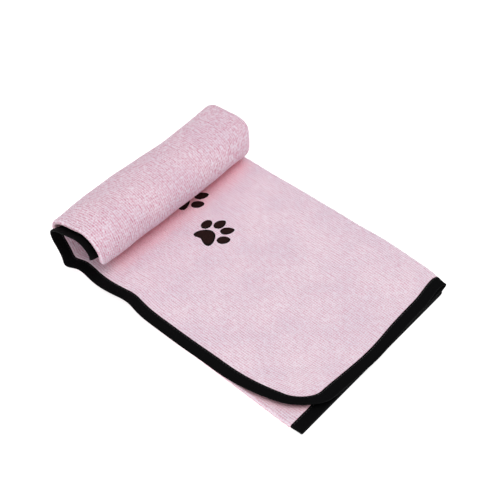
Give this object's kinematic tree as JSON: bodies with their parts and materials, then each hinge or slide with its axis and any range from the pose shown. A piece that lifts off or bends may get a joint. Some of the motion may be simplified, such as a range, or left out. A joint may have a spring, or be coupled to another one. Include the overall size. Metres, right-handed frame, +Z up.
{
  "type": "pet towel",
  "caption": "Soft pink terry pet towel with dark bound edges and embroidered paw prints, folded lengthwise with its far end rolled over.",
  "frame": {"origin": "centre of the flat stack's footprint, on its underside", "axes": "+X towards the free front end, +Y towards the double fold, +Z up from the table"},
  "size_m": [0.3301, 0.229, 0.0653],
  "materials": {
    "terry": "ribbed pink microfibre terry, matt pile",
    "binding": "black woven binding tape",
    "thread": "black sewing thread",
    "embroidery": "very dark brown satin stitch"
  },
  "bodies": {
    "root": {"flat_cloth": "terry", "front_binding": "binding", "side_binding_top": "binding", "side_binding_under": "binding", "seam_thread": "thread", "paw_1_pad": "embroidery", "paw_1_toe_1": "embroidery", "paw_1_toe_2": "embroidery", "paw_1_toe_3": "embroidery", "paw_1_toe_4": "embroidery", "paw_2_pad": "embroidery", "paw_2_toe_1": "embroidery", "paw_2_toe_2": "embroidery", "paw_2_toe_3": "embroidery", "paw_2_toe_4": "embroidery"},
    "roll_01": {"roll_cloth_01": "terry", "roll_binding_top_01": "binding", "roll_binding_under_01": "binding"},
    "roll_02": {"roll_cloth_02": "terry", "roll_binding_top_02": "binding", "roll_binding_under_02": "binding"},
    "roll_03": {"roll_cloth_03": "terry", "roll_binding_top_03": "binding", "roll_binding_under_03": "binding"},
    "roll_04": {"roll_cloth_04": "terry", "roll_binding_top_04": "binding", "roll_binding_under_04": "binding"},
    "roll_05": {"roll_cloth_05": "terry", "roll_binding_top_05": "binding", "roll_binding_under_05": "binding"},
    "roll_06": {"roll_cloth_06": "terry", "roll_binding_top_06": "binding", "roll_binding_under_06": "binding"},
    "roll_07": {"roll_cloth_07": "terry", "roll_binding_top_07": "binding", "roll_binding_under_07": "binding"},
    "roll_08": {"roll_cloth_08": "terry", "roll_binding_top_08": "binding", "roll_binding_under_08": "binding"},
    "roll_09": {"roll_cloth_09": "terry", "roll_binding_top_09": "binding", "roll_binding_under_09": "binding"},
    "roll_10": {"roll_cloth_10": "terry", "roll_binding_top_10": "binding", "roll_binding_under_10": "binding"},
    "roll_11": {"roll_cloth_11": "terry", "roll_binding_top_11": "binding", "roll_binding_under_11": "binding"},
    "roll_12": {"roll_cloth_12": "terry", "roll_binding_top_12": "binding", "roll_binding_under_12": "binding", "inner_binding": "binding"}
  },
  "joints": [
    {"name": "unroll_01", "type": "hinge", "parent": "root", "child": "roll_01", "pos_m": [-0.1475, 0, 0], "axis": [0, -1, 0], "range_deg": [0, 20]},
    {"name": "unroll_02", "type": "hinge", "parent": "roll_01", "child": "roll_02", "pos_m": [-0.16516, 0, 0.00643], "axis": [0, -1, 0], "range_deg": [0, 27]},
    {"name": "unroll_03", "type": "hinge", "parent": "roll_02", "child": "roll_03", "pos_m": [-0.17658, 0, 0.01868], "axis": [0, -1, 0], "range_deg": [0, 24]},
    {"name": "unroll_04", "type": "hinge", "parent": "roll_03", "child": "roll_04", "pos_m": [-0.18256, 0, 0.03603], "axis": [0, -1, 0], "range_deg": [0, 41]},
    {"name": "unroll_05", "type": "hinge", "parent": "roll_04", "child": "roll_05", "pos_m": [-0.17531, 0, 0.05397], "axis": [0, -1, 0], "range_deg": [0, 39]},
    {"name": "unroll_06", "type": "hinge", "parent": "roll_05", "child": "roll_06", "pos_m": [-0.15952, 0, 0.06272], "axis": [0, -1, 0], "range_deg": [0, 20]},
    {"name": "unroll_07", "type": "hinge", "parent": "roll_06", "child": "roll_07", "pos_m": [-0.14333, 0, 0.06529], "axis": [0, -1, 0], "range_deg": [0, 11]},
    {"name": "unroll_08", "type": "hinge", "parent": "roll_07", "child": "roll_08", "pos_m": [-0.12676, 0, 0.06471], "axis": [0, -1, 0], "range_deg": [0, 24]},
    {"name": "unroll_09", "type": "hinge", "parent": "roll_08", "child": "roll_09", "pos_m": [-0.11013, 0, 0.05659], "axis": [0, -1, 0], "range_deg": [0, 48]},
    {"name": "unroll_10", "type": "hinge", "parent": "roll_09", "child": "roll_10", "pos_m": [-0.10459, 0, 0.0373], "axis": [0, -1, 0], "range_deg": [0, 46]},
    {"name": "unroll_11", "type": "hinge", "parent": "roll_10", "child": "roll_11", "pos_m": [-0.1137, 0, 0.02153], "axis": [0, -1, 0], "range_deg": [0, 35]},
    {"name": "unroll_12", "type": "hinge", "parent": "roll_11", "child": "roll_12", "pos_m": [-0.12971, 0, 0.01406], "axis": [0, -1, 0], "range_deg": [0, 44]}
  ],
  "couplings": [
    {"joint": "unroll_02", "follows": "unroll_01", "ratio": 1.35},
    {"joint": "unroll_03", "follows": "unroll_01", "ratio": 1.2},
    {"joint": "unroll_04", "follows": "unroll_01", "ratio": 2.05},
    {"joint": "unroll_05", "follows": "unroll_01", "ratio": 1.95},
    {"joint": "unroll_06", "follows": "unroll_01", "ratio": 1},
    {"joint": "unroll_07", "follows": "unroll_01", "ratio": 0.55},
    {"joint": "unroll_08", "follows": "unroll_01", "ratio": 1.2},
    {"joint": "unroll_09", "follows": "unroll_01", "ratio": 2.4},
    {"joint": "unroll_10", "follows": "unroll_01", "ratio": 2.3},
    {"joint": "unroll_11", "follows": "unroll_01", "ratio": 1.75},
    {"joint": "unroll_12", "follows": "unroll_01", "ratio": 2.2}
  ]
}
